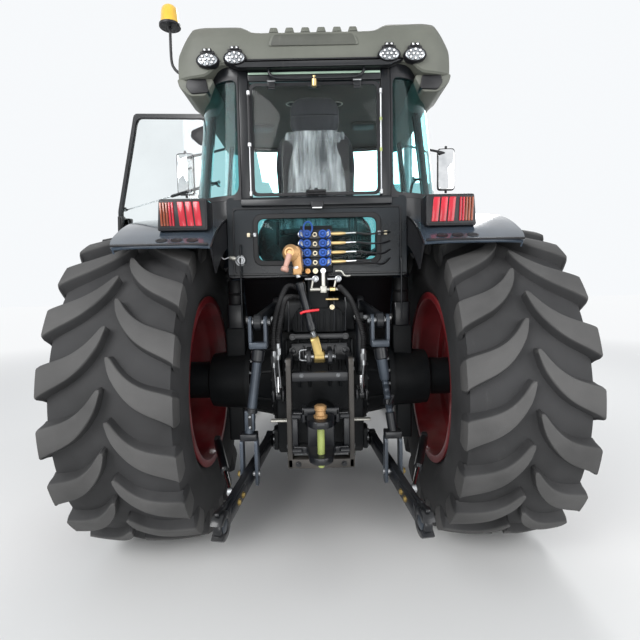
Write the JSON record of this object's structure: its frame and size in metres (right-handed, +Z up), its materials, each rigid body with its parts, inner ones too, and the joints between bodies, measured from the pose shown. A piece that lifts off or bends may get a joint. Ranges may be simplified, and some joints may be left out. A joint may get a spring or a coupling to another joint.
{
  "type": "farm tractor",
  "caption": "Large farm tractor with closed cab, lugged tyres, rear three-point linkage, drawbar clevis and hinged bonnet; left door open.",
  "frame": {"origin": "on the ground under the middle of the whole machine", "axes": "+Y forward along the machine, +X to its right, +Z up"},
  "size_m": [2.8952, 5.014, 3.3249],
  "materials": {
    "tyre": "matte",
    "rim": "satin",
    "casting": "satin",
    "frame": "satin",
    "steel": "satin",
    "glass": "satin",
    "roof": "satin",
    "fender": "satin",
    "lamp": "satin",
    "seat": "satin",
    "trim": "satin",
    "beacon": "satin",
    "bonnet": "satin"
  },
  "bodies": {
    "chassis": {"transmission": "casting", "pto_shaft": "steel", "rear_axle": "casting", "engine_block": "casting", "front_frame": "frame", "front_weights": "casting", "front_axle": "casting", "fenders": "fender", "cab_frame": "frame", "cab_glass": "glass", "seat": "seat", "dashboard": "trim", "window_struts": "steel", "rear_window": "glass", "roof": "roof", "tail_lamps": "lamp", "roof_lamps": "lamp", "beacon": "beacon", "mirrors": "trim", "exhaust": "steel", "tank_left": "frame", "locker_right": "frame", "hitch_ladder": "frame", "tow_clevis": "frame", "hitch_brackets": "frame", "valve_block": "steel"},
    "rear_wheel_left": {"rear_tyre_left": "tyre", "rear_rim_left": "rim"},
    "knuckle_left": {"knuckle_left": "casting", "front_fender_left": "fender"},
    "front_wheel_left": {"front_tyre_left": "tyre", "front_rim_left": "rim"},
    "door_left": {"door_left": "frame", "door_glass_left": "glass"},
    "stay_barrel_left": {"door_stay_barrel_left": "steel"},
    "stay_rod_left": {"door_stay_rod_left": "steel"},
    "lift_rod_left": {"lift_rod_left": "steel"},
    "lower_link_left": {"lower_link_left": "frame"},
    "rear_wheel_right": {"rear_tyre_right": "tyre", "rear_rim_right": "rim"},
    "knuckle_right": {"knuckle_right": "casting", "front_fender_right": "fender"},
    "front_wheel_right": {"front_tyre_right": "tyre", "front_rim_right": "rim"},
    "door_right": {"door_right": "frame", "door_glass_right": "glass"},
    "stay_barrel_right": {"door_stay_barrel_right": "steel"},
    "stay_rod_right": {"door_stay_rod_right": "steel"},
    "lift_rod_right": {"lift_rod_right": "steel"},
    "lower_link_right": {"lower_link_right": "frame"},
    "tie_rod": {"tie_rod": "steel"},
    "bonnet": {"bonnet": "bonnet"},
    "lift_arms": {"lift_arms": "frame"},
    "lift_cylinder_barrels": {"lift_cylinder_barrels": "steel"},
    "lift_cylinder_rods": {"lift_cylinder_rods": "steel"},
    "top_link": {"top_link": "frame"}
  },
  "joints": [
    {"name": "rear_wheel_left", "type": "hinge", "parent": "chassis", "child": "rear_wheel_left", "pos_m": [-0.86838, -1.313, 0.95592], "axis": [1, 0, 0], "continuous": true},
    {"name": "steer_left", "type": "hinge", "parent": "chassis", "child": "knuckle_left", "pos_m": [-0.62238, 1.587, 0.73192], "axis": [0, 0, 1], "range_deg": [-38, 38]},
    {"name": "front_wheel_left", "type": "hinge", "parent": "knuckle_left", "child": "front_wheel_left", "pos_m": [-0.87238, 1.587, 0.73192], "axis": [1, 0, 0], "continuous": true},
    {"name": "rear_wheel_right", "type": "hinge", "parent": "chassis", "child": "rear_wheel_right", "pos_m": [1.12362, -1.313, 0.95592], "axis": [1, 0, 0], "continuous": true},
    {"name": "steer_right", "type": "hinge", "parent": "chassis", "child": "knuckle_right", "pos_m": [0.87762, 1.587, 0.73192], "axis": [0, 0, 1], "range_deg": [-38, 38]},
    {"name": "front_wheel_right", "type": "hinge", "parent": "knuckle_right", "child": "front_wheel_right", "pos_m": [1.12762, 1.587, 0.73192], "axis": [1, 0, 0], "continuous": true},
    {"name": "tie_rod_left_end", "type": "hinge", "parent": "knuckle_left", "child": "tie_rod", "pos_m": [-0.62238, 1.362, 0.76992], "axis": [0, 0, 1], "range_deg": [-38, 38]},
    {"name": "door_left", "type": "hinge", "parent": "chassis", "child": "door_left", "pos_m": [-0.71838, -0.9, 2.08492], "axis": [0.1143, 0, 0.9934], "range_deg": [-76, 4]},
    {"name": "stay_swing_left", "type": "hinge", "parent": "chassis", "child": "stay_barrel_left", "pos_m": [-0.6019, -0.833, 2.34992], "axis": [0.1066, 0.0875, 0.9904], "range_deg": [-75, 5]},
    {"name": "stay_slide_left", "type": "slide", "parent": "stay_barrel_left", "child": "stay_rod_left", "axis": [-0.9575, 0.2033, -0.2046], "range_m": [-0.126, 0.008]},
    {"name": "door_right", "type": "hinge", "parent": "chassis", "child": "door_right", "pos_m": [0.97362, -0.9, 2.08492], "axis": [0.1143, 0, -0.9934], "range_deg": [0, 80]},
    {"name": "stay_swing_right", "type": "hinge", "parent": "chassis", "child": "stay_barrel_right", "pos_m": [0.85713, -0.833, 2.34992], "axis": [0.1066, -0.0875, -0.9904], "range_deg": [0, 79]},
    {"name": "stay_slide_right", "type": "slide", "parent": "stay_barrel_right", "child": "stay_rod_right", "axis": [0.0739, 0.9285, -0.3638], "range_m": [0, 0.134]},
    {"name": "bonnet", "type": "hinge", "parent": "chassis", "child": "bonnet", "pos_m": [0.12762, 0.112, 2.05992], "axis": [1, 0, 0], "range_deg": [0, 45]},
    {"name": "hitch_lift", "type": "hinge", "parent": "chassis", "child": "lift_arms", "pos_m": [0.12762, -1.503, 1.42992], "axis": [-1, 0, 0], "range_deg": [-18, 34]},
    {"name": "lift_rod_left", "type": "hinge", "parent": "lift_arms", "child": "lift_rod_left", "pos_m": [-0.18438, -1.968, 1.38492], "axis": [-1, 0, 0], "range_deg": [-36, 20]},
    {"name": "lower_link_left", "type": "hinge", "parent": "chassis", "child": "lower_link_left", "pos_m": [-0.18238, -1.583, 0.63992], "axis": [-1, 0, 0], "range_deg": [-21, 40]},
    {"name": "lift_rod_right", "type": "hinge", "parent": "lift_arms", "child": "lift_rod_right", "pos_m": [0.43962, -1.968, 1.38492], "axis": [-1, 0, 0], "range_deg": [-36, 20]},
    {"name": "lower_link_right", "type": "hinge", "parent": "chassis", "child": "lower_link_right", "pos_m": [0.43762, -1.583, 0.63992], "axis": [-1, 0, 0], "range_deg": [-21, 40]},
    {"name": "cylinder_barrels", "type": "hinge", "parent": "lift_arms", "child": "lift_cylinder_barrels", "pos_m": [0.12762, -1.743, 1.38492], "axis": [-1, 0, 0], "range_deg": [-40, 22]},
    {"name": "cylinder_rods", "type": "slide", "parent": "lift_cylinder_barrels", "child": "lift_cylinder_rods", "axis": [0, -0.023, -0.9997], "range_m": [-0.085, 0.15]},
    {"name": "top_link", "type": "hinge", "parent": "chassis", "child": "top_link", "pos_m": [0.12762, -1.833, 1.17992], "axis": [1, 0, 0], "range_deg": [0, 95]}
  ],
  "couplings": [
    {"joint": "steer_right", "follows": "steer_left", "ratio": 1},
    {"joint": "tie_rod_left_end", "follows": "steer_left", "ratio": -1},
    {"joint": "stay_swing_left", "follows": "door_left", "ratio": 0.97482},
    {"joint": "stay_slide_left", "follows": "door_left", "m_per_rad": 0.09473},
    {"joint": "stay_swing_right", "follows": "door_right", "ratio": 0.97482},
    {"joint": "stay_slide_right", "follows": "door_right", "m_per_rad": 0.09473},
    {"joint": "lift_rod_left", "follows": "hitch_lift", "ratio": -1.01},
    {"joint": "lower_link_left", "follows": "hitch_lift", "ratio": 1.055},
    {"joint": "lift_rod_right", "follows": "hitch_lift", "ratio": -1.01},
    {"joint": "lower_link_right", "follows": "hitch_lift", "ratio": 1.055},
    {"joint": "cylinder_barrels", "follows": "hitch_lift", "ratio": -1.03},
    {"joint": "cylinder_rods", "follows": "hitch_lift", "m_per_rad": 0.22804}
  ]
}
